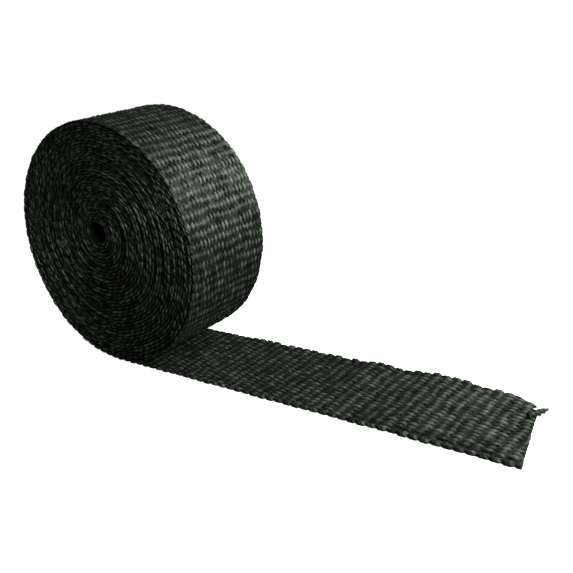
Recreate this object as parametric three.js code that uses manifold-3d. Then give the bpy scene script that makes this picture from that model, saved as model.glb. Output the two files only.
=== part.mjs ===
// A roll of woven heat wrap for an exhaust pipe: a long glass-fibre tape, wound on itself with no
// spool, that stands on its rim with its free end laid out flat on the floor.
//
// Millimetres, +Z up. The origin is on the floor under the middle of the coil. +Y runs along the
// coil's axis, across the tape, and +X is the way the free end runs.
//
// The tape is one piece, so coil and free end are one solid. The coil is turned, with its bore, and
// each turn of the tape shows on both ends as a ridge with a groove beside it.

import * as THREE from "three";
import { mergeVertices } from "three/addons/utils/BufferGeometryUtils.js";
import Module from "manifold-3d";

const wasm = await Module();
wasm.setup();

// The tape
const TAPE_WIDTH = 50.8;
const TAPE_THICKNESS = 1.6;
const EDGE_ROUNDING = 0.7; // how deep the groove between two turns is
const WOUND_SHARE = 0.963; // what the winding leaves of the thickness

// The coil
const COIL_DIAMETER = 121;
const BORE_DIAMETER = 10;
const BORE_RISE = 6; // the bore's middle is this far above the coil's
const BORE_SHIFT = -2.5; // and this far along the tail's way
const OUTER_TURN_PROUD = 0.15; // the last turn stands out this far past the ends of the others
const OUTER_TURN_DEPTH = 2.4; // it is made this thick, to lie well into the turns under it
const FOOT_LENGTH = 4; // the coil's weight flattens it this far each side of its lowest point
const FOOT_EASE = 6; // and from here on it is round again

// The free end of the tape
const TAIL_REACH = 196.8; // from under the coil's axis to the middle of the cut
const CUT_SLANT = 12.3; // degrees that the cut is off square
const CORNER_LENGTH = 13; // the frayed corner that is gone, along the tape
const CORNER_WIDTH = 6; // and across it
const FLAT_REACH = 112; // the tail lies flat on the floor up to here
const RIPPLE_HEIGHT = 1.2; // then its far edge rises and falls once, by this much
const RIPPLE_LENGTH = 72;

// Facets
const COIL_SIDES = 96;
const TURN_SIDES = 30;
const TAIL_STEP = 8;
const MERGE_DISTANCE = 1e-4;

// The blocks that cut the tail's end, wider and taller than the tape there
const CUTTER_SIZE = 100;
const CUTTER_HEIGHT = 12;

const coilRadius = COIL_DIAMETER / 2;
const boreRadius = BORE_DIAMETER / 2;
const turns = Math.round((coilRadius - boreRadius) / (TAPE_THICKNESS * WOUND_SHARE));
const pitch = (coilRadius - boreRadius) / turns;
const halfWidth = TAPE_WIDTH / 2;
const tailEnd = TAIL_REACH + halfWidth * Math.tan(THREE.MathUtils.degToRad(CUT_SLANT));

const CLOTH = new THREE.MeshStandardMaterial({ color: 0x2b312b, roughness: 0.62, metalness: 0 });

// A three.js geometry as a manifold solid, with only its positions, merged.
function solidOf(geometry) {
  const bare = new THREE.BufferGeometry();
  bare.setAttribute("position", geometry.getAttribute("position"));
  bare.setIndex(geometry.getIndex());
  const merged = mergeVertices(bare, MERGE_DISTANCE);
  return new wasm.Manifold(
    new wasm.Mesh({
      numProp: 3,
      vertProperties: merged.getAttribute("position").array,
      triVerts: new Uint32Array(merged.getIndex().array),
    }),
  );
}

// A manifold solid as a three.js geometry.
function geometryOf(solid) {
  const mesh = solid.getMesh();
  const geometry = new THREE.BufferGeometry();
  geometry.setAttribute("position", new THREE.BufferAttribute(mesh.vertProperties, 3));
  geometry.setIndex(new THREE.BufferAttribute(mesh.triVerts, 1));
  geometry.computeVertexNormals();
  return geometry;
}

// The turned part of the coil, up to the last turn. Its section is a rectangle whose two ends run
// in a zigzag: a crown over the middle of each turn, and a groove where two turns meet.
function turnedCoil() {
  const crown = halfWidth - OUTER_TURN_PROUD;
  const groove = crown - EDGE_ROUNDING;
  const nearEnd = [new THREE.Vector2(boreRadius, -groove)];
  for (let turn = 0; turn < turns - 1; turn++) {
    const inner = boreRadius + turn * pitch;
    nearEnd.push(new THREE.Vector2(inner + pitch / 2, -crown), new THREE.Vector2(inner + pitch, -groove));
  }
  const farEnd = nearEnd.map((point) => new THREE.Vector2(point.x, -point.y)).reverse();
  const section = [...nearEnd, ...farEnd, nearEnd[0].clone()];
  const geometry = new THREE.LatheGeometry(section, TURN_SIDES);

  // Each ring moves a little, the inner ones most, because the bore isn't in the coil's middle.
  const position = geometry.getAttribute("position");
  const lastRadius = boreRadius + (turns - 1) * pitch;
  for (let i = 0; i < position.count; i++) {
    const radius = Math.hypot(position.getX(i), position.getZ(i));
    const inward = 1 - (radius - boreRadius) / (lastRadius - boreRadius);
    position.setX(i, position.getX(i) + inward * BORE_SHIFT);
    position.setZ(i, position.getZ(i) + inward * BORE_RISE + coilRadius);
  }
  return solidOf(geometry);
}

// How far the tape's underside is off the floor, at a place along and across the free end: it is
// flat, then its far edge rises and falls once, as a raised cosine.
function ripple(x, y) {
  const along = (x - FLAT_REACH) / RIPPLE_LENGTH;
  if (along <= 0 || along >= 1) return 0;
  const rise = (1 - Math.cos(2 * Math.PI * along)) / 2;
  return RIPPLE_HEIGHT * rise * (y / TAPE_WIDTH + 0.5);
}

// The last turn and the free end, as one outline in the plane across the coil's axis: round the
// coil on a spiral that loses one pitch in a turn, and out along the top of the tape and back.
function lastTurnAndTail() {
  const outline = [new THREE.Vector2(-FOOT_LENGTH, 0)];
  const stepAngle = (2 * Math.PI) / COIL_SIDES;
  for (let side = 1; side < COIL_SIDES; side++) {
    const radius = coilRadius - (pitch * side) / COIL_SIDES;
    const angle = -Math.PI / 2 - side * stepAngle;
    const x = radius * Math.cos(angle);
    const z = coilRadius + radius * Math.sin(angle);
    const beyondFoot = Math.abs(x) > FOOT_EASE || z > coilRadius;
    if (beyondFoot) outline.push(new THREE.Vector2(x, z));
  }
  outline.push(new THREE.Vector2(FOOT_LENGTH, TAPE_THICKNESS));
  const overrun = tailEnd + TAIL_STEP;
  const places = [];
  for (let x = FLAT_REACH; x < overrun; x += TAIL_STEP) places.push(x);
  places.push(overrun);
  for (const x of places) outline.push(new THREE.Vector2(x, TAPE_THICKNESS));
  for (const x of places.reverse()) outline.push(new THREE.Vector2(x, 0));

  const shape = new THREE.Shape(outline);
  const hole = new THREE.Path();
  hole.absarc(0, coilRadius, coilRadius - OUTER_TURN_DEPTH, 0, 2 * Math.PI);
  shape.holes.push(hole);
  const geometry = new THREE.ExtrudeGeometry(shape, {
    depth: TAPE_WIDTH,
    steps: 1,
    curveSegments: COIL_SIDES / 2,
    bevelEnabled: false,
  });
  geometry.rotateX(Math.PI / 2);
  geometry.translate(0, halfWidth, 0);

  const position = geometry.getAttribute("position");
  for (let i = 0; i < position.count; i++) {
    position.setZ(i, position.getZ(i) + ripple(position.getX(i), position.getY(i)));
  }
  return solidOf(geometry);
}

// What is cut off the free end: everything past the slanted cut, and the frayed far corner.
function endCutters() {
  const slant = THREE.MathUtils.degToRad(CUT_SLANT);
  const past = new THREE.BoxGeometry(CUTTER_SIZE, CUTTER_SIZE, CUTTER_HEIGHT);
  past.translate(CUTTER_SIZE / 2, 0, 0);
  past.rotateZ(slant);
  past.translate(TAIL_REACH, 0, 0);

  const cutAtFarEdge = TAIL_REACH - halfWidth * Math.tan(slant);
  const corner = new THREE.Shape([
    new THREE.Vector2(cutAtFarEdge - CORNER_LENGTH, halfWidth),
    new THREE.Vector2(cutAtFarEdge + CORNER_WIDTH * Math.tan(slant), halfWidth - CORNER_WIDTH),
    new THREE.Vector2(cutAtFarEdge + CORNER_LENGTH, halfWidth - CORNER_WIDTH),
    new THREE.Vector2(cutAtFarEdge + CORNER_LENGTH, CUTTER_SIZE),
    new THREE.Vector2(cutAtFarEdge - CORNER_LENGTH, CUTTER_SIZE),
  ]);
  const missing = new THREE.ExtrudeGeometry(corner, { depth: CUTTER_HEIGHT, bevelEnabled: false });
  missing.translate(0, 0, -CUTTER_HEIGHT / 2);
  return solidOf(past).add(solidOf(missing));
}

const wrap = turnedCoil().add(lastTurnAndTail()).subtract(endCutters());
const mesh = new THREE.Mesh(geometryOf(wrap), CLOTH);
mesh.name = "heat_wrap_tape";

const roll = new THREE.Group();
roll.add(mesh);

export default roll;
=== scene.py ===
"""A roll of woven heat wrap for an exhaust pipe, as it looks: one long tape of black glass-fibre
yarn, wound on itself, with its free end laid out flat. Metres, +Z up. The tape runs along +X on the
floor, under the coil, and then round and round it towards the bore."""

import math

import bpy
import numpy as np
from mathutils import Matrix, Vector


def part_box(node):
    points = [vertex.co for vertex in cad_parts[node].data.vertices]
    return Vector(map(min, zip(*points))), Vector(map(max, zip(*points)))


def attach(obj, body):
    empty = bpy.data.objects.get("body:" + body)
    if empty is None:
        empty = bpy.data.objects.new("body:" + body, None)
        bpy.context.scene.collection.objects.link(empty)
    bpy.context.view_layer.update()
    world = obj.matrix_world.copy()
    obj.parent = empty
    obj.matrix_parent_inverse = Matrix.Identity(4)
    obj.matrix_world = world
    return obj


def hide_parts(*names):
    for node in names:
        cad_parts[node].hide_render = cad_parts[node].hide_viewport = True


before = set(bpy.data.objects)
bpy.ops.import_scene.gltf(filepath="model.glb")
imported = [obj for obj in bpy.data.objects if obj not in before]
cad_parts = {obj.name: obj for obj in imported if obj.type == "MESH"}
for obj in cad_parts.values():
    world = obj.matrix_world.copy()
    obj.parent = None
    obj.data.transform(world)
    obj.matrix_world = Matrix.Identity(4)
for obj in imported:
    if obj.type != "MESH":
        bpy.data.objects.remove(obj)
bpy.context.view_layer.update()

bl_info = {
    "name": "Exhaust heat wrap",
    "version": (1, 0, 0),
    "blender": (4, 5, 0),
    "location": "3D View > Sidebar > Heat wrap",
    "description": "Builds a roll of woven heat wrap tape round its packed solid",
    "category": "Object",
}

NODE = "heat_wrap_tape"
BODY = "root"
MM = 0.001

# Attributes that the cloth's material reads: the place on the tape in millimetres, 1 where a yarn
# that runs along the tape is on top and 0 where one that runs across it is, 0 in the cloth's
# valleys to 1 on its crowns, which sets painted shade and painted highlight, and how pale a
# stretch of yarn is, from 0 to 1.
PLACE = "place_on_tape"
LENGTHWISE = "lengthwise_yarn"
CROWN = "crown"
SHADE = "yarn_shade"

# How a dented turn waves: for x and for z, the wave lengths over 2 pi and the phases. The dents
# grow to their full depth over this share of the winding, and the droop over this angle.
DENT_X = ((9 * MM, 1.3), (13 * MM, 0.4))
DENT_Z = ((8 * MM, 2.1), (12 * MM, 0.9))
DENTED_FROM = 1 / 12
DROOPS_FROM = 0.6

# The far edge's swells beside the crease: how far past it the middle of one is, how long it is and
# how high, as a share of the lift. The near edge has this share of that.
SWELLS = ((-11 * MM, 26 * MM, 0.7), (20 * MM, 46 * MM, 1.0))
NEAR_EDGE_LIFT = 0.15

# How far before the crease the groove starts and over what length it grows to its full depth, over
# what length the loops rise, and how far before the cut the rings start to follow it.
GROOVE_LEAD, GROOVE_GROWTH, LOOP_GROWTH, LEAN_LENGTH = 15 * MM, 50 * MM, 60 * MM, 45 * MM

# How uneven the cut is, and how much more where the corner is torn off, whose outline is a power.
RAGGED, TORN_RAGGED, TEAR_POWER = 0.15 * MM, 0.5 * MM, 1.2

# The loops' band is this many roundings wide, a loop goes out and in about its mean, and the
# tape has this share of its thickness between two loops.
EDGE_BAND, LOOP_MEAN, WOUND_LOOP_MEAN, BETWEEN_LOOPS = 2.2, 0.75, 0.9, 0.1

# How the yarns stray: the length of a bend along the tape and across it, and its share of stray.
PICK_STRAY = (8 * MM, 7 * MM, 0.4)
END_STRAY = (6 * MM, 3.5 * MM, 0.8)
SIZE_STRAY = (4.2 * MM, 1.3 * MM, 1.0)

# What a pick rises and falls, as a share of what a lengthwise yarn does.
PICK_CRIMP = 0.4

# Of a loop's height, what comes from the doubled yarn and what from each of its two yarns, and how
# far loops differ.
DOUBLED_SHARE, SINGLE_SHARE, LOOP_UNEVEN = 0.68, 0.32, 0.2

# Which way the loose yarn's two strands lie apart, along and across the tape.
STRANDS_APART = (-0.75, 0.65)

# The cloth's face goes this many crown heights below its highest crown and this far above it, and
# its loops' crown, which sets their painted shade and highlight, goes to this share of a full one.
DEEPEST, PROUDEST, LOOP_CROWN = 1.1, 0.15 * MM, 0.75

# How a wound turn strays out of the coil's end, as shares of the drift: along the tape, with the
# length of a bend, and from turn to turn. Between loops it is thinner, and each loop is a little
# higher or lower.
DRIFT_ALONG, DRIFT_LENGTH, DRIFT_BY_TURN = 0.6, 30 * MM, 0.7
THINNED, SHUFFLED = 0.35, 0.34 * MM

# The angles in degrees of the points round an edge, the step of a back that nobody sees, how far
# round the outer turn goes, and the loose yarn's rings and sides.
EDGE_BENDS, COARSE_STEP, OUTER_TURNS, YARN_RINGS, YARN_SIDES = (30, 55, 75, 90), 12, 1.01, 33, 8

# The sizes of the tables of random numbers, and how far apart in one the picks and the lengthwise
# yarns read.
LINE_KNOTS, GRID_ROWS, GRID_COLUMNS, YARN_KNOTS = 4096, 1024, 64, 8192
PICK_ROW = 900


def solid_sizes():
    """The sizes that the looks share with the solid, read from its box."""
    low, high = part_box(NODE)
    width = high.y - low.y
    turns, bore_radius, slant = 36, 5 * MM, math.radians(12.3)
    # The last turn loses half a pitch by the top of the coil, so the box is as tall as
    # 2 R - (R - bore radius) / (2 turns).
    outer_radius = (high.z - bore_radius / (2 * turns)) / (2 - 1 / (2 * turns))
    reach = high.x - width / 2 * math.tan(slant)
    return width, turns, bore_radius, slant, outer_radius, reach


WIDTH, TURNS, BORE_RADIUS, SLANT, OUTER_RADIUS, REACH = solid_sizes()


def length(name, description, default):
    return bpy.props.FloatProperty(
        name=name, description=description, default=default, precision=5, unit="LENGTH"
    )


def angle(name, description, degrees):
    return bpy.props.FloatProperty(
        name=name, description=description, default=math.radians(degrees), subtype="ANGLE"
    )


def share(name, description, default):
    return bpy.props.FloatProperty(
        name=name, description=description, default=default, min=0, max=1, subtype="FACTOR"
    )


def colour(name, description, default):
    return bpy.props.FloatVectorProperty(
        name=name, description=description, default=default, min=0, max=1, subtype="COLOR"
    )


def position(name, description, default):
    return bpy.props.FloatVectorProperty(
        name=name, description=description, default=default, subtype="XYZ"
    )


def power(name, default):
    return bpy.props.FloatProperty(name=name, description="In watts", default=default, min=0)


class WrapCloth(bpy.types.PropertyGroup):
    """The woven tape"""

    width: length("Width", "Across the tape, less what its edge loops add", WIDTH - 0.2 * MM)
    thickness: length("Thickness", "Of the tape where nothing presses it", 1.5 * MM)
    wound_thickness: length("Wound thickness", "Of the tape inside the coil", 1.46 * MM)
    ends: bpy.props.IntProperty(
        name="Ends", description="Yarns side by side across the tape", default=40, min=2
    )
    pick_pitch: length("Pick pitch", "Between two picks, each a doubled yarn", 4.5 * MM)
    pick_steps: bpy.props.IntProperty(
        name="Steps in a pick", description="Rings of the mesh in one pick", default=8, min=4
    )
    stray: share("Stray", "Of the yarns from an even grid", 0.45)
    crimp: length("Crimp", "How far a yarn rises and falls where it crosses others", 0.30 * MM)
    end_height: length("End height", "Half the thickness of a yarn along the tape", 0.36 * MM)
    pick_height: length("Pick height", "Half the thickness of a yarn across it", 0.30 * MM)
    rib_depth: length("Rib depth", "How far the cloth sinks between two picks", 0.20 * MM)
    edge_rounding: length("Edge rounding", "Width of the tape's rounded edge", 1.0 * MM)
    loop_depth: length("Loop depth", "How far a yarn's turn stands out of the edge", 1.25 * MM)
    loop_slant: share("Loop slant", "Of a turn across the edge, as a share of a pick", 0.5)
    loop_rise: length("Loop rise", "Of a turn above the free end, which nothing presses", 1.1 * MM)


class WrapCoil(bpy.types.PropertyGroup):
    """The wound part of the tape"""

    outer_radius: length("Outer radius", "Of the coil at the floor", OUTER_RADIUS)
    bore_radius: length("Bore radius", "Of the hole in the middle of the coil", BORE_RADIUS)
    turns: bpy.props.IntProperty(
        name="Turns", description="Turns of the tape in the coil", default=TURNS, min=3
    )
    bore_shift: length("Bore shift", "Of the bore's middle along the floor", -2.5 * MM)
    bore_rise: length("Bore rise", "Of the bore's middle above the coil's", 6 * MM)
    drift: length("Edge drift", "How far a turn strays out of the coil's end", 0.6 * MM)
    dent: length("Dent", "How far the turns are pressed out of round", 0.5 * MM)
    droop: length("Droop", "Of a turn's edges towards the axis", 0.1 * MM)
    droop_width: length("Droop width", "How far in from its edges a turn droops", 6 * MM)
    parting: bpy.props.FloatProperty(
        name="Parting", description="The turn where one piece ends and the next starts", default=10.5
    )


class WrapFreeEnd(bpy.types.PropertyGroup):
    """The end of the tape that lies on the floor"""

    reach: length("Reach", "From under the coil's axis to the middle of the cut", REACH)
    slant: angle("Slant", "Of the cut, off square", math.degrees(SLANT))
    corner_length: length("Torn corner length", "Along the tape", 11 * MM)
    corner_width: length("Torn corner width", "Across the tape", 6 * MM)
    crease_place: length("Crease", "Where the tape was once folded", 131 * MM)
    lift: length("Lift", "How far the far edge stands off the floor past the crease", 1.7 * MM)
    groove_place: length("Groove", "Beside the near edge, towards the cut", 3.9 * MM)
    groove_depth: length("Groove depth", "Of that groove", 0.85 * MM)
    groove_width: length("Groove width", "Of that groove", 3.4 * MM)
    hollow_depth: length("Hollow depth", "Of the notch beside the torn corner", 2.4 * MM)
    hollow_place: length("Hollow place", "From the torn corner's start", 1.2 * MM)
    hollow_width: length("Hollow width", "Across the tape", 4.5 * MM)
    spike_length: length("Spike", "What stands out of the torn corner", 0.2 * MM)
    spike_place: length("Spike place", "From the torn corner's start", 2.4 * MM)
    spike_width: length("Spike width", "Across the tape", 2.2 * MM)


class WrapLooseYarn(bpy.types.PropertyGroup):
    """The torn yarn at the far corner"""

    back: length("Root", "How far the root is short of the middle of the cut", 4.6 * MM)
    across: length("Root across", "From the middle of the tape", 9.5 * MM)
    height: length("Root height", "Above the middle of the tape's thickness", 1.1 * MM)
    run_along: length("Run along", "From root to tip, along the tape", 4.3 * MM)
    run_across: length("Run across", "From root to tip, across the tape", 8.8 * MM)
    bend: length("Bend", "Of the path towards the cut", 0.4 * MM)
    rise: length("Rise", "From root to tip", 0.3 * MM)
    root_width: length("Root width", "Of the yarn", 2.0 * MM)
    thinning: length("Thinning", "Of the yarn, from root to tip", 1.2 * MM)
    strand: share("Strand", "Radius of a strand, as a share of the width", 0.60)
    apart: share("Apart", "Of a strand from the path, as a share of the width", 0.30)
    twists: bpy.props.FloatProperty(
        name="Twists", description="Of the strands round each other", default=2.2
    )


class WrapColours(bpy.types.PropertyGroup):
    """Colours of black glass-fibre yarn with a slight green cast, and of painted shade and glints"""

    # Painted shade: near black, for the valleys where the yarns shade each other.
    valley_shade: colour("Valley", "Deep between the yarns", (0.0010, 0.0014, 0.0010))
    yarn: colour("Yarn", "On the yarns", (0.013, 0.019, 0.0122))
    grey_yarn: colour("Grey yarn", "On the yarns, where the cast is weaker", (0.0155, 0.0185, 0.0148))
    # Painted highlight: the colour that crowns and single fibres go to, as if they caught the light.
    glint: colour("Glint", "Where fibres catch the light", (0.078, 0.10, 0.073))
    roughness: share("Roughness", "Of the yarn", 0.45)


class WrapStage(bpy.types.PropertyGroup):
    """The floor, the lights and the camera"""

    floor: colour("Floor", "Of the floor and the backdrop", (0.92, 0.92, 0.92))
    azimuth: angle("Azimuth", "Of the camera round the coil, from -Y towards +X", 47.753)
    elevation: angle("Elevation", "Of the camera above the floor", 21.986)
    distance: length("Distance", "Of the camera from the origin", 412.79 * MM)
    aim_right: length("Aim right", "Of what the camera looks at, from the origin", 36.21 * MM)
    aim_up: length("Aim up", "Of what the camera looks at, from the origin", 10.10 * MM)
    roll: angle("Roll", "Of the camera about its own axis", -6.632)
    lens: bpy.props.FloatProperty(
        name="Lens", description="Focal length in millimetres", default=48.6, unit="CAMERA"
    )
    shift: bpy.props.FloatVectorProperty(
        name="Shift",
        description="Of the lens, as a share of the frame",
        size=2,
        default=(0.1157, 0.0477),
    )
    sky: share("Sky", "Brightness of the surroundings", 0.008)
    light_size: length("Light size", "Side of each square light", 0.25)
    key_place: position("Key light", "Where the light on the right is", (0.56, -0.19, 0.30))
    key_power: power("Key power", 4.5)
    back_place: position("Back light", "Where the light behind the roll is", (0.25, 0.2, 0.25))
    back_power: power("Back power", 1.2)
    lit_at: position("Lit point", "What both lights look at", (0.06, 0, 0.05))


def knots(seed, *counts):
    return np.random.default_rng(seed).uniform(-1, 1, counts)


def wander(place, step, seed):
    """Noise along a line: random numbers from -1 to 1 one step apart, eased by a cosine."""
    table = knots(seed, LINE_KNOTS)
    at = place / step
    before = np.floor(at).astype(int)
    eased = (1 - np.cos(np.pi * (at - before))) / 2
    now, then = table[before % LINE_KNOTS], table[(before + 1) % LINE_KNOTS]
    return now * (1 - eased) + then * eased


def wander_over(along, across, step_along, step_across, seed):
    """Noise over a surface: random numbers on a grid, eased by a cosine both ways."""
    table = knots(seed, GRID_ROWS, GRID_COLUMNS)
    at, to = along / step_along, across / step_across
    row, column = np.floor(at).astype(int), np.floor(to).astype(int)
    down, right = ((1 - np.cos(np.pi * (x - np.floor(x)))) / 2 for x in (at, to))
    rows = (row % GRID_ROWS, (row + 1) % GRID_ROWS)
    columns = (column % GRID_COLUMNS, (column + 1) % GRID_COLUMNS)
    near = table[rows[0], columns[0]] * (1 - right) + table[rows[0], columns[1]] * right
    far = table[rows[1], columns[0]] * (1 - right) + table[rows[1], columns[1]] * right
    return near * (1 - down) + far * down


def hump(place, centre, whole_length):
    """A raised cosine, 1 at its centre and 0 from half its length away."""
    off = np.clip(np.abs(place - centre) / whole_length, 0, 0.5)
    return (1 + np.cos(2 * np.pi * off)) / 2


def eased_step(place, start, end):
    """0 before start and 1 after end, with a smooth rise between."""
    at = np.clip((place - start) / (end - start), 0, 1)
    return at * at * (3 - 2 * at)


def pitch_of(coil):
    return (coil.outer_radius - coil.bore_radius) / coil.turns


def middle_radius(coil, cloth):
    """From the coil's centre to the middle of the last turn's thickness."""
    return coil.outer_radius - cloth.thickness / 2


def turned(along, coil, cloth):
    """How far the tape has turned inwards, in radians, at a place along it, which is 0 under the
    coil's axis and negative on the coil. The radius loses a pitch in each turn, so after an angle a
    the tape has run R a - pitch a a / (4 pi), and this is that, solved for a."""
    start, pitch = middle_radius(coil, cloth), pitch_of(coil)
    wound = np.maximum(-along, 0)
    left = np.maximum(start**2 - pitch * wound / np.pi, 0)
    return (start - np.sqrt(left)) * 2 * np.pi / pitch


def run_of(angle_turned, coil, cloth):
    """How far along the tape an angle is: the same relation the other way round."""
    start, pitch = middle_radius(coil, cloth), pitch_of(coil)
    return -(start * angle_turned - pitch * angle_turned**2 / (4 * np.pi))


def last_angle(coil, cloth):
    """The whole angle of the coil, down to the tape's inner end at the bore."""
    inner = coil.bore_radius + cloth.wound_thickness / 2
    return (middle_radius(coil, cloth) - inner) * 2 * np.pi / pitch_of(coil)


def lifted(along, across, cloth, free_end):
    """How far the free end stands off the floor: its far edge swells before the crease, touches
    down in it and stands off again after it, and the near edge hardly moves."""
    tilt = NEAR_EDGE_LIFT + (1 - NEAR_EDGE_LIFT) * (across / cloth.width + 0.5)
    swells = (high * hump(along, free_end.crease_place + past, long) for past, long, high in SWELLS)
    return free_end.lift * tilt * sum(swells)


def tape_points(along, across, height, scene):
    """Points of the tape. along, across and height are arrays of one shape: the place along the
    tape, across it, and off its middle towards the side that faces out on the coil and down on the
    floor. On the coil a point is at radius R - pitch a / 2 pi + height and at the angle
    -pi / 2 - a, about a centre that moves in a line to the bore's as a grows. Its edges droop
    towards the axis and the inner turns are a little dented."""
    cloth, coil, free_end = scene.wrap_cloth, scene.wrap_coil, scene.wrap_free_end
    a = turned(along, coil, cloth)
    radius = middle_radius(coil, cloth) - pitch_of(coil) * a / (2 * np.pi) + height
    inward = a / last_angle(coil, cloth)
    edge = np.clip(1 - (cloth.width / 2 - np.abs(across)) / coil.droop_width, 0, 1)
    radius = radius - coil.droop * edge**2 * np.clip(a / DROOPS_FROM, 0, 1) * (1 - inward)
    x = coil.bore_shift * inward + radius * np.cos(-np.pi / 2 - a)
    z = coil.bore_rise * inward + radius * np.sin(-np.pi / 2 - a)
    soft = np.clip(inward / DENTED_FROM, 0, 1) * coil.dent
    x, z = x + soft * dented(z, x, DENT_X), z + soft * dented(x, z, DENT_Z)
    free = along > 0
    x = np.where(free, along, x)
    flat = cloth.thickness / 2 - height + lifted(along, across, cloth, free_end)
    z = np.where(free, flat, z + coil.outer_radius)
    return np.stack([x, np.broadcast_to(across, x.shape), z], axis=-1)


def dented(one, other, waves):
    """A sine along one direction times a cosine along the other."""
    (first, first_phase), (second, second_phase) = waves
    return np.sin(one / first + first_phase) * np.cos(other / second + second_phase)


def arch(place):
    """The height of a half circle over -1 to 1, which stops a little short of upright."""
    return np.sqrt(1 - np.clip(np.abs(place), 0, 0.98) ** 2)


def weave(along, across, cloth, seed):
    """The face of a plain weave: its height below the highest crown, where a lengthwise yarn is on
    top, and how pale the yarn is. A lengthwise yarn rises and falls as a cosine from pick to pick,
    its neighbours in opposite phase, and a crosswise yarn does so less, from end to end. Each is
    round across its own width, a pick being two yarns side by side, and the higher of the two
    shows. The cloth sinks between picks. Yarns stray from an even grid and are of uneven size."""
    pick_stray, end_stray, size_stray = (
        cloth.stray * by * wander_over(along, across, down, over, seed + k)
        for k, (down, over, by) in enumerate((PICK_STRAY, END_STRAY, SIZE_STRAY))
    )
    pick = along / cloth.pick_pitch + pick_stray
    end = (across / cloth.width + 0.5) * cloth.ends - 0.5 + end_stray
    row, column, yarn = np.round(pick), np.round(end), np.round(2 * pick)
    size = 1 + size_stray
    wave = np.cos(np.pi * pick) * np.cos(np.pi * column)
    end_top = (cloth.crimp * wave + cloth.end_height * arch(2 * (end - column))) * size
    counter_wave = -PICK_CRIMP * cloth.crimp * np.cos(np.pi * end) * np.cos(np.pi * row)
    pick_top = counter_wave + cloth.pick_height * arch(2 * (2 * pick - yarn))
    sink = cloth.rib_depth * (1 - np.cos(2 * np.pi * pick)) / 2
    crown = cloth.crimp + cloth.end_height
    below = np.clip(np.maximum(end_top, pick_top) - sink - crown, -DEEPEST * crown, PROUDEST)
    lengthwise = end_top > pick_top
    rows = 2 * GRID_ROWS
    table = knots(seed + 3, rows, GRID_COLUMNS)
    end_shade = table[row.astype(int) % rows, column.astype(int) % GRID_COLUMNS]
    over = (column / 3).astype(int) % GRID_COLUMNS
    pick_shade = table[(yarn.astype(int) + PICK_ROW) % rows, over]
    shade = 0.5 + 0.5 * np.where(lengthwise, end_shade, pick_shade)
    return below, lengthwise.astype(float), shade


def loops(along, across_edge, cloth, seed):
    """The yarn's turns along an edge, from 0 between two of them to about 1 in the middle: for
    each pick a half circle, with a smaller one over each of its two yarns, of uneven size and
    slanted across the edge. across_edge is from -1 at the back of the edge to 1 at its face.
    Second, how pale the turn is, and third its own random number from -1 to 1."""
    at = along / cloth.pick_pitch + 0.5 + cloth.loop_slant * across_edge / 2
    bead, yarn = np.floor(at).astype(int), np.floor(2 * at).astype(int)
    own = knots(seed, YARN_KNOTS)[bead % YARN_KNOTS]
    large, small = arch(2 * (at - bead) - 1), arch(2 * (2 * at - yarn) - 1)
    shade = 0.5 + 0.5 * knots(seed + 1, YARN_KNOTS)[yarn % YARN_KNOTS]
    turn = DOUBLED_SHARE * large + SINGLE_SHARE * small
    return (1 + LOOP_UNEVEN * own) * turn, shade, own


def cloth_rows(cloth, step):
    """Places across the tape from one edge to the other: even steps, and closer ones round the
    edges. Second, how thick the edge's rounding leaves the tape there, from 0 to 1."""
    flat = cloth.width / 2 - cloth.edge_rounding
    count = 2 * int(round(flat / step))
    middle = np.linspace(-flat, flat, count + 1)
    bend = np.radians(EDGE_BENDS)
    edge = flat + cloth.edge_rounding * np.sin(bend)
    across = np.concatenate([-edge[::-1], middle, edge])
    rounding = np.concatenate([np.cos(bend)[::-1], np.ones(count + 1), np.cos(bend)])
    return across, np.maximum(rounding, 0)


def cloth_face(along, rows, rounding, rise, scene, seed):
    """One face of the tape: its place across, pushed out by the loops at the edges, its height
    above the tape's middle, where lengthwise yarn is on top, how high it stands and how pale it
    is. rise is how far the loops stand above the face."""
    cloth = scene.wrap_cloth
    edge_start = cloth.width / 2 - EDGE_BAND * cloth.edge_rounding
    across = np.broadcast_to(rows, along.shape)
    near_edge = eased_step(np.abs(across), edge_start, cloth.width / 2)
    one_side, other_side = (loops(along, rounding, cloth, seed + k) for k in (5, 7))
    turn, turn_shade, _ = (np.where(across < 0, a, b) for a, b in zip(one_side, other_side))
    below, lengthwise, shade = weave(along, across, cloth, seed)
    half = cloth.thickness / 2
    woven = half + below
    looped = half * (BETWEEN_LOOPS + (1 - BETWEEN_LOOPS) * turn) + rise * turn**2
    height = (woven * (1 - near_edge) + looped * near_edge) * rounding
    pushed = across + np.sign(across) * cloth.loop_depth * (turn - LOOP_MEAN) * near_edge
    depth = cloth.crimp + cloth.end_height
    # The crown, which the material turns into painted shade and highlight: from the weave's depth,
    # and on the loops a share of their turn.
    crown = np.clip((1 + below / depth) * (1 - near_edge) + LOOP_CROWN * turn * near_edge, 0, 1)
    shade = shade * (1 - near_edge) + turn_shade * near_edge
    return pushed, height, lengthwise * (1 - near_edge), crown, shade


def ring_faces(count, around, outwards):
    """Quads between rings that follow each other, each ring closed on itself."""
    ring = np.arange(count - 1)[:, None] * around
    point = np.arange(around)[None, :]
    after = (point + 1) % around
    quads = [ring + point, ring + after, ring + around + after, ring + around + point]
    quads = np.stack(quads, axis=-1).reshape(-1, 4)
    return quads if outwards else quads[:, ::-1]


def end_faces(first, rows, outwards):
    """Quads across one end of a tape whose rings have rows points on the face and two fewer on
    the back, where the ring's first point is first."""
    face = first + np.arange(rows)
    back = first + np.concatenate([[0], np.arange(2 * rows - 3, rows - 1, -1), [rows - 1]])
    quads = np.stack([face[:-1], face[1:], back[1:], back[:-1]], axis=-1)[1:-1]
    ends = [[face[0], face[1], back[1]], [face[-2], face[-1], back[-2]]]
    faces = [list(q) for q in quads.tolist()] + [[int(i) for i in e] for e in ends]
    return faces if outwards else [f[::-1] for f in faces]


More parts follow.
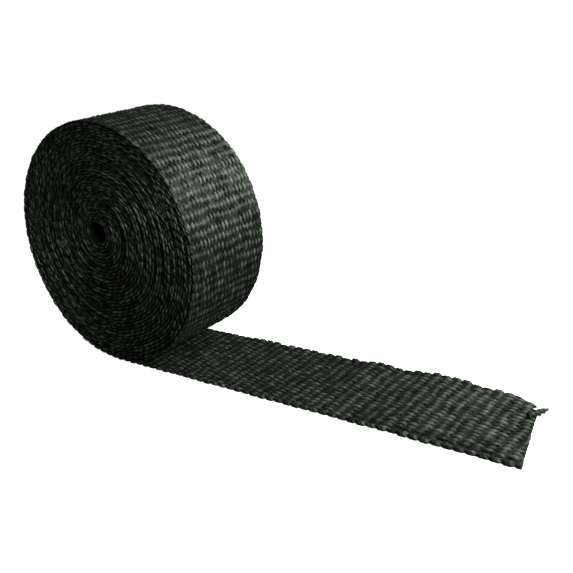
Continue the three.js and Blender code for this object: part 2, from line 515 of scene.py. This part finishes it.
def add_piece(name, points, faces, looks, material):
    """A mesh object with the attributes that the cloth's material reads, by name."""
    mesh = bpy.data.meshes.new(name)
    mesh.from_pydata(points.reshape(-1, 3).tolist(), [], faces)
    for attribute, values in looks.items():
        kind, field = ("FLOAT_VECTOR", "vector") if attribute == PLACE else ("FLOAT", "value")
        data = mesh.attributes.new(attribute, kind, "POINT").data
        data.foreach_set(field, np.ascontiguousarray(values, dtype=np.float32).ravel())
    mesh.shade_smooth()
    mesh.materials.append(material)
    piece = bpy.data.objects.new(name, mesh)
    bpy.context.scene.collection.objects.link(piece)
    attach(piece, BODY)
    return piece


def groove(along, across, cloth, free_end):
    """How deep the groove beside the near edge is, which grows from before the crease on."""
    beside = hump(across, free_end.groove_place - cloth.width / 2, free_end.groove_width)
    start = free_end.crease_place - GROOVE_LEAD
    return free_end.groove_depth * beside * eased_step(along, start, start + GROOVE_GROWTH)


def woven_piece(name, along, face_side, fine_back, scene, seed, material):
    """A stretch of the tape with its weave in the mesh. along has a row for each ring and a column
    for each of its places across. The face is on the side that face_side says, 1 for the outside
    of the coil and -1 for the top of the free end."""
    cloth = scene.wrap_cloth
    rows, rounding = cloth_rows(cloth, cloth.width / cloth.ends / 3)
    rise = cloth.loop_rise * eased_step(along, 0, LOOP_GROWTH)
    face = list(cloth_face(along, rows, rounding, rise, scene, seed))
    sunk = groove(along, rows[None, :], cloth, scene.wrap_free_end)
    face[1] = face[1] - sunk
    # Painted shade in the groove: its crown falls to 0 as it deepens, so it takes the valleys'
    # painted shade.
    face[3] = face[3] * (1 - sunk / scene.wrap_free_end.groove_depth)
    back = cloth_face(along, rows, rounding, 0, scene, seed + 20)
    keep = np.arange(rows.size - 2, 0, -1 if fine_back else -COARSE_STEP)
    ring_along = np.concatenate([along, along[:, keep]], axis=1)
    across, height, lengthwise, crown, shade = (
        np.concatenate([one, sign * other[:, keep]], axis=1)
        for one, other, sign in zip(face, back, (1, -1, 1, 1, 1))
    )
    height = face_side * height
    points = tape_points(ring_along, across, height, scene)
    count, around = ring_along.shape
    outwards = face_side > 0
    faces = ring_faces(count, around, outwards).tolist()
    if fine_back:
        faces += end_faces(0, rows.size, not outwards)
        faces += end_faces((count - 1) * around, rows.size, outwards)
    else:
        faces.append(list(range(around))[::-1])
        faces.append(list(range((count - 1) * around, count * around)))
    looks = {
        PLACE: np.stack([ring_along, across, height], axis=-1) / MM,
        LENGTHWISE: lengthwise,
        CROWN: crown,
        SHADE: shade,
    }
    piece = add_piece(name, points, faces, looks, material)
    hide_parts(NODE)
    return piece


def cut_at(across, cloth, free_end, seed):
    """How far the tape reaches at a place across it: to the slanted cut, less where the far corner
    is torn off, and a little more or less for every lengthwise yarn. Beside the torn corner the
    edge has a hollow, and in the torn corner a short spike."""
    cut = free_end.reach - across * math.tan(free_end.slant)
    corner = cloth.width / 2 - free_end.corner_width
    torn = np.clip((across - corner) / free_end.corner_width, 0, 1)
    end = np.floor((across / cloth.width + 0.5) * cloth.ends).astype(int)
    own = knots(seed, GRID_COLUMNS)[np.clip(end, 0, GRID_COLUMNS - 1)]
    ragged = (RAGGED + TORN_RAGGED * eased_step(torn, 0, 0.3)) * own
    hollow = hump(across, corner - free_end.hollow_place, free_end.hollow_width)
    spike = hump(across, corner + free_end.spike_place, free_end.spike_width)
    edge = free_end.spike_length * spike - free_end.hollow_depth * hollow
    return cut - free_end.corner_length * torn**TEAR_POWER + edge + ragged


def add_loose_yarn(scene, material):
    """The torn end of a pick at the far corner: two strands twisted round each other, each a tube
    on a helix about a path that climbs away from the cut as a parabola, thinner to its tip."""
    yarn, reach = scene.wrap_loose_yarn, scene.wrap_free_end.reach
    path = np.linspace(0, 1, YARN_RINGS)[:, None]
    around = np.linspace(0, 2 * np.pi, YARN_SIDES + 1)[:-1][None, :]
    taper = yarn.root_width - yarn.thinning * path**2
    centre_x = reach - yarn.back + yarn.run_along * path + yarn.bend * path**2
    centre_y = yarn.across + yarn.run_across * path - yarn.bend * path**2
    centre_z = scene.wrap_cloth.thickness / 2 + yarn.height + yarn.rise * path**2
    thick = yarn.strand * taper * np.sqrt(np.clip(1.02 - path**8, 0, 1))
    points, faces = [], []
    for strand in range(2):
        turn = 2 * np.pi * (yarn.twists * path + strand / 2)
        apart = yarn.apart * taper * np.cos(turn) + thick * np.cos(around)
        above = yarn.apart * taper * np.sin(turn) + thick * np.sin(around)
        x, y = (centre + way * apart for centre, way in zip((centre_x, centre_y), STRANDS_APART))
        tube = np.stack([x, y, centre_z + above], axis=-1)
        first = strand * tube[..., 0].size
        rings, sides = tube.shape[:2]
        quads = ring_faces(rings, sides, True) + first
        faces += quads.tolist()
        faces.append([first + k for k in reversed(range(sides))])
        faces.append([first + (rings - 1) * sides + k for k in range(sides)])
        points.append(tube)
    points = np.stack(points)
    looks = {
        PLACE: points / MM,
        LENGTHWISE: np.zeros(points.shape[:-1]),
        # An even crown: the painted shade and highlight are the same all along the loose yarn.
        CROWN: np.full(points.shape[:-1], 0.75),
        SHADE: np.broadcast_to(0.65 - 0.5 * path, points.shape[:-1]),
    }
    return add_piece("loose_yarn", points, faces, looks, material)


def add_free_end(scene, material):
    """The stretch that lies on the floor, and the yarn that hangs from its torn corner. Its rings
    are square to it as far as the last stretch, where they lean over bit by bit until the last one
    follows the cut."""
    cloth, free_end = scene.wrap_cloth, scene.wrap_free_end
    rows, _ = cloth_rows(cloth, cloth.width / cloth.ends / 3)
    lean_start = free_end.reach - LEAN_LENGTH
    steps = int(round(free_end.reach / cloth.pick_pitch * cloth.pick_steps))
    square = np.linspace(0, free_end.reach, steps + 1)[:, None]
    cut = cut_at(rows, cloth, free_end, 71)[None, :]
    leaning = (square - lean_start) / (free_end.reach - lean_start)
    along = np.where(square > lean_start, lean_start + leaning * (cut - lean_start), square)
    piece = woven_piece("free_end", along, -1, True, scene, 11, material)
    yarn = add_loose_yarn(scene, material)
    return piece


def add_outer_turn(scene, material):
    """The last turn round the coil, with its weave on the outside."""
    cloth, coil = scene.wrap_cloth, scene.wrap_coil
    rows, _ = cloth_rows(cloth, cloth.width / cloth.ends / 3)
    start = run_of(2 * np.pi * OUTER_TURNS, coil, cloth)
    steps = int(round(-start / cloth.pick_pitch * cloth.pick_steps))
    along = np.repeat(np.linspace(start, 0, steps + 1)[:, None], rows.size, axis=1)
    piece = woven_piece("outer_turn", along, 1, False, scene, 11, material)
    -start
    return piece


def add_wound_turns(name, first_turn, last_turn, scene, material):
    """Turns inside the coil, which show at their edges. A section has a flat middle and two round
    edges: at an angle b round the edge a point is at half the width less the rounding, plus the
    rounding times cos b, and half the thickness times sin b off the middle. The loops and the
    turn's drift push it in and out, and the loops also move and thin it."""
    cloth, coil = scene.wrap_cloth, scene.wrap_coil
    start, end = (run_of(2 * np.pi * t, coil, cloth) for t in (last_turn, first_turn))
    steps = int(round((end - start) / cloth.pick_pitch * cloth.pick_steps))
    along = np.linspace(start, end, steps + 1)[:, None]
    bend = np.linspace(np.pi / 2, -np.pi / 2, 7)
    b = np.concatenate([bend, bend[::-1]])
    side = np.concatenate([np.ones(bend.size), -np.ones(bend.size)])
    far_edge, near_edge = (loops(along, np.sin(b), cloth, seed) for seed in (31, 41))
    turn, shade, own = (np.where(side > 0, x, y) for x, y in zip(far_edge, near_edge))
    a = turned(along, coil, cloth)
    stray = DRIFT_ALONG * wander(along, DRIFT_LENGTH, 33)
    stray = stray + DRIFT_BY_TURN * wander(a / (2 * np.pi), 1.0, 34)
    out = np.sqrt(np.clip(np.cos(b), 0, 1))
    half = cloth.wound_thickness / 2
    bead = cloth.edge_rounding + cloth.loop_depth * (turn - WOUND_LOOP_MEAN)
    across = side * (cloth.width / 2 - cloth.edge_rounding + bead * out) + coil.drift * stray
    height = half * np.sin(b) * (1 - THINNED * out * (1 - turn)) + SHUFFLED * own * out**2
    ring_along = np.broadcast_to(along, across.shape)
    points = tape_points(ring_along, across, height, scene)
    count, around = across.shape
    faces = ring_faces(count, around, True).tolist()
    faces.append(list(range(around))[::-1])
    faces.append(list(range((count - 1) * around, count * around)))
    looks = {
        PLACE: np.stack([ring_along, across, height], axis=-1) / MM,
        LENGTHWISE: np.zeros(across.shape),
        # Painted shade in the grooves between turns and between loops, where the crown falls to 0,
        # and painted highlight on the loops' tips.
        CROWN: np.clip(out * (1.15 * turn - 0.05), 0, 1),
        SHADE: shade,
    }
    piece = add_piece(name, points, faces, looks, material)
    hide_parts(NODE)
    end - start
    return piece


class Wire:
    """A shader socket that Python's operators work on, each adding one Math node."""

    def __init__(self, shader, socket):
        self.shader = shader
        self.socket = socket

    def math(self, operation, *values):
        settings = {"operation": operation}
        return self.shader.node("ShaderNodeMath", settings, dict(enumerate(values)))

    def __add__(self, other):
        return self.math("ADD", self, other)

    def __sub__(self, other):
        return self.math("SUBTRACT", self, other)

    def __rsub__(self, other):
        return self.math("SUBTRACT", other, self)

    def __mul__(self, other):
        return self.math("MULTIPLY", self, other)

    __radd__ = __add__
    __rmul__ = __mul__

    def between(self, low, high):
        """0 at low and 1 at high, held there outside."""
        inputs = {"Value": self, "From Min": low, "From Max": high}
        return self.shader.node("ShaderNodeMapRange", {"clamp": True}, inputs)


class Shader:
    """A material's node tree, with one method that adds any node."""

    def __init__(self, name):
        self.material = bpy.data.materials.new(name)
        self.material.use_nodes = True
        self.tree = self.material.node_tree
        self.tree.nodes.clear()

    def node(self, kind, settings, inputs, output=0):
        made = self.tree.nodes.new(kind)
        for name, value in settings.items():
            setattr(made, name, value)
        for name, value in inputs.items():
            if isinstance(value, Wire):
                self.tree.links.new(value.socket, made.inputs[name])
            else:
                made.inputs[name].default_value = value
        return Wire(self, made.outputs[output])

    def attribute(self, name, output):
        return self.node("ShaderNodeAttribute", {"attribute_name": name}, {}, output)

    def noise(self, place, stretch, detail=2.0):
        """Noise on a place that is scaled along each of its axes."""
        scaled = self.node("ShaderNodeMapping", {}, {"Vector": place, "Scale": stretch})
        inputs = {"Vector": scaled, "Scale": 1.0, "Detail": detail}
        return self.node("ShaderNodeTexNoise", {}, inputs, "Fac")

    def mix(self, factor, first, second):
        settings = {"data_type": "RGBA", "clamp_factor": True}
        return self.node("ShaderNodeMix", settings, {0: factor, 6: first, 7: second}, 2)

    def surface(self, inputs):
        return self.node("ShaderNodeBsdfPrincipled", {}, inputs)

    def finish(self, surface):
        out = self.tree.nodes.new("ShaderNodeOutputMaterial")
        self.tree.links.new(surface.socket, out.inputs["Surface"])
        return self.material


def opaque(rgb):
    return (*rgb, 1.0)


def glass_cloth(colours):
    """Black glass-fibre yarn. Fine streaks follow each yarn's own way, yarns differ from each other,
    and the green cast comes and goes over the cloth. Light and shade are painted in: the crowns and
    single fibres get painted highlights, and the valleys painted shade."""
    shader = Shader("woven_glass_fibre")
    place = shader.attribute(PLACE, "Vector")
    lengthwise = shader.attribute(LENGTHWISE, "Fac")
    crown = shader.attribute(CROWN, "Fac")
    shade = shader.attribute(SHADE, "Fac")
    down = shader.noise(place, (0.45, 5.0, 5.0))
    across = shader.noise(place, (5.0, 0.5, 0.5))
    streak = down * lengthwise + across * (1 - lengthwise)
    patch = shader.noise(place, (0.10, 0.14, 0.14))
    fleck = shader.noise(place, (1.1, 1.6, 1.6), 3.0)
    # Painted light from the relief: the crown lifts the tone on the crowns and leaves it low in the
    # valleys, and lengthwise yarn lifts it a little more.
    height = crown * 0.95 + lengthwise * 0.25
    # The tone is that painted light plus the yarn's own tone, which differs at random with its shade,
    # streaks, flecks and patches.
    tone_and_painted_light = height + shade * 0.6 + streak * 0.8 + fleck * 0.8 + patch * 0.5 - 1.45
    cast = shader.noise(place, (0.06, 0.09, 0.09), 1.0).between(0.35, 0.65)
    yarn = shader.mix(cast, opaque(colours.yarn), opaque(colours.grey_yarn))
    # Painted highlight: where the tone is high, on crowns and random flecks, the colour goes to the
    # glint colour.
    yarn_and_painted_glint = shader.mix(tone_and_painted_light.between(0.6, 1.35) * 0.9, yarn, opaque(colours.glint))
    bump = shader.node(
        "ShaderNodeBump",
        {},
        {"Strength": 0.7, "Distance": 0.35 * MM, "Height": streak * 0.6 + fleck * 0.4},
    )
    # Painted shade: a near black, rough surface for the valleys between the yarns.
    painted_valley_shade = shader.surface(
        {"Base Color": opaque(colours.valley_shade), "Roughness": 0.9, "Specular IOR Level": 0.1}
    )
    fibres = shader.surface(
        {
            "Base Color": yarn_and_painted_glint,
            "Roughness": (streak - 0.5) * 0.3 + colours.roughness,
            "Normal": bump,
            "Specular IOR Level": 0.75,
            "Specular Tint": opaque((0.78, 1.0, 0.76)),
        }
    )
    # Where the tone is low, in the valleys, the painted shade shows instead of the yarn.
    clear_of_painted_shade = tone_and_painted_light.between(-0.05, 0.95)
    return shader.finish(shader.node("ShaderNodeMixShader", {}, {0: clear_of_painted_shade, 1: painted_valley_shade, 2: fibres}))


class WRAP_OT_free_end(bpy.types.Operator):
    """Lays the free end of the tape on the floor"""

    bl_idname = "wrap.free_end"
    bl_label = "Free end"

    def execute(self, context):
        add_free_end(context.scene, cloth_material(context.scene))
        return {"FINISHED"}


class WRAP_OT_outer_turn(bpy.types.Operator):
    """Winds the last turn round the coil"""

    bl_idname = "wrap.outer_turn"
    bl_label = "Outer turn"

    def execute(self, context):
        add_outer_turn(context.scene, cloth_material(context.scene))
        return {"FINISHED"}


class WRAP_OT_wound_turns(bpy.types.Operator):
    """Winds the turns inside the coil, which show at their edges"""

    bl_idname = "wrap.wound_turns"
    bl_label = "Wound turns"

    def execute(self, context):
        scene = context.scene
        coil, cloth = scene.wrap_coil, scene.wrap_cloth
        last = last_angle(coil, cloth) / (2 * np.pi)
        material = cloth_material(scene)
        add_wound_turns("wound_turns", 1.0, coil.parting, scene, material)
        add_wound_turns("inner_turns", coil.parting, last, scene, material)
        return {"FINISHED"}


def cloth_material(scene):
    """The cloth's material, made once."""
    made = bpy.data.materials.get("woven_glass_fibre")
    return made or glass_cloth(scene.wrap_colours)


def add_floor(stage):
    """The floor and the backdrop in one sweep: a disc, and round it a wall that rises out of it
    on a quarter circle. It is a little bright of itself, so that the shadow on it is faint, and
    the cloth takes no light from it."""
    flat, bend, wall, sides = 2.0, 1.0, 3.0, 96
    rise = np.linspace(0, np.pi / 2, 13)
    radius = np.append(flat + bend * np.sin(rise), flat + bend)
    height = np.append(bend * (1 - np.cos(rise)), wall)
    around = np.arange(sides) * 2 * np.pi / sides
    points = np.stack(
        [
            radius[:, None] * np.cos(around),
            radius[:, None] * np.sin(around),
            np.broadcast_to(height[:, None], (radius.size, sides)),
        ],
        axis=-1,
    )
    mesh = bpy.data.meshes.new("floor")
    faces = ring_faces(radius.size, sides, True).tolist()
    mesh.from_pydata(points.reshape(-1, 3).tolist(), [], faces + [list(range(sides))])
    paper = Shader("pale_paper")
    inputs = {
        "Base Color": opaque(stage.floor),
        "Roughness": 0.9,
        "Emission Color": opaque((1, 1, 1)),
        "Emission Strength": 1.0,
    }
    mesh.materials.append(paper.finish(paper.surface(inputs)))
    floor = bpy.data.objects.new("floor", mesh)
    bpy.context.scene.collection.objects.link(floor)
    floor.visible_glossy = False
    floor.visible_diffuse = False
    floor.visible_shadow = False


def add_light(name, at, watts, stage):
    """A square soft light, which looks at the roll."""
    data = bpy.data.lights.new(name, "AREA")
    data.shape = "SQUARE"
    data.size = stage.light_size
    data.energy = watts
    light = bpy.data.objects.new(name, data)
    light.location = at
    light.rotation_mode = "QUATERNION"
    way = Vector(at) - Vector(stage.lit_at)
    light.rotation_quaternion = way.to_track_quat("Z", "Y")
    bpy.context.scene.collection.objects.link(light)


def add_camera(stage):
    """The camera is at an azimuth, elevation and distance from the origin, looks at a point a
    little to the right of it and above it, and is rolled about its own axis."""
    a, e = stage.azimuth, stage.elevation
    back = Vector((math.sin(a) * math.cos(e), -math.cos(a) * math.cos(e), math.sin(e)))
    right = Vector((math.cos(a), math.sin(a), 0))
    eye = back * stage.distance
    aim = right * stage.aim_right + back.cross(right) * stage.aim_up
    back = (eye - aim).normalized()
    right = Vector((0, 0, 1)).cross(back).normalized()
    up = back.cross(right)
    turn = Matrix.Rotation(stage.roll, 3, "Z")
    data = bpy.data.cameras.new("camera")
    data.lens = stage.lens
    data.shift_x, data.shift_y = stage.shift
    data.sensor_width = 36
    data.clip_start, data.clip_end = 0.01, 50
    camera = bpy.data.objects.new("camera", data)
    camera.matrix_world = (
        Matrix.Translation(eye) @ (Matrix((right, up, back)).transposed() @ turn).to_4x4()
    )
    bpy.context.scene.collection.objects.link(camera)
    bpy.context.scene.camera = camera


def add_sky(brightness):
    world = bpy.data.worlds.new("studio")
    world.use_nodes = True
    background = world.node_tree.nodes["Background"]
    background.inputs["Color"].default_value = (1, 1, 1, 1)
    background.inputs["Strength"].default_value = brightness
    bpy.context.scene.world = world


class WRAP_OT_stage(bpy.types.Operator):
    """Sets the floor, the lights and the camera"""

    bl_idname = "wrap.stage"
    bl_label = "Stage"

    def execute(self, context):
        stage = context.scene.wrap_stage
        add_camera(stage)
        add_floor(stage)
        add_sky(stage.sky)
        add_light("key", stage.key_place, stage.key_power, stage)
        add_light("back", stage.back_place, stage.back_power, stage)
        context.scene.view_settings.view_transform = "Standard"
        return {"FINISHED"}


OPERATORS = (WRAP_OT_stage, WRAP_OT_free_end, WRAP_OT_outer_turn, WRAP_OT_wound_turns)
SETTINGS = {
    "wrap_cloth": WrapCloth,
    "wrap_coil": WrapCoil,
    "wrap_free_end": WrapFreeEnd,
    "wrap_loose_yarn": WrapLooseYarn,
    "wrap_colours": WrapColours,
    "wrap_stage": WrapStage,
}


class WRAP_PT_panel(bpy.types.Panel):
    """Lists the steps that build the roll, and its sizes"""

    bl_idname = "WRAP_PT_panel"
    bl_label = "Heat wrap"
    bl_space_type = "VIEW_3D"
    bl_region_type = "UI"
    bl_category = "Heat wrap"

    def draw(self, context):
        for operator in OPERATORS:
            self.layout.operator(operator.bl_idname)
        for name, group in SETTINGS.items():
            box = self.layout.box()
            box.label(text=group.__doc__)
            for field in group.__annotations__:
                box.prop(getattr(context.scene, name), field)


def register():
    for kind in (*SETTINGS.values(), *OPERATORS, WRAP_PT_panel):
        bpy.utils.register_class(kind)
    for name, group in SETTINGS.items():
        setattr(bpy.types.Scene, name, bpy.props.PointerProperty(type=group))


def unregister():
    for name in SETTINGS:
        delattr(bpy.types.Scene, name)
    for kind in reversed((*SETTINGS.values(), *OPERATORS, WRAP_PT_panel)):
        bpy.utils.unregister_class(kind)


def main():
    register()
    bpy.ops.wrap.stage()
    bpy.ops.wrap.free_end()
    bpy.ops.wrap.outer_turn()
    bpy.ops.wrap.wound_turns()


if __name__ == "__main__":
    main()
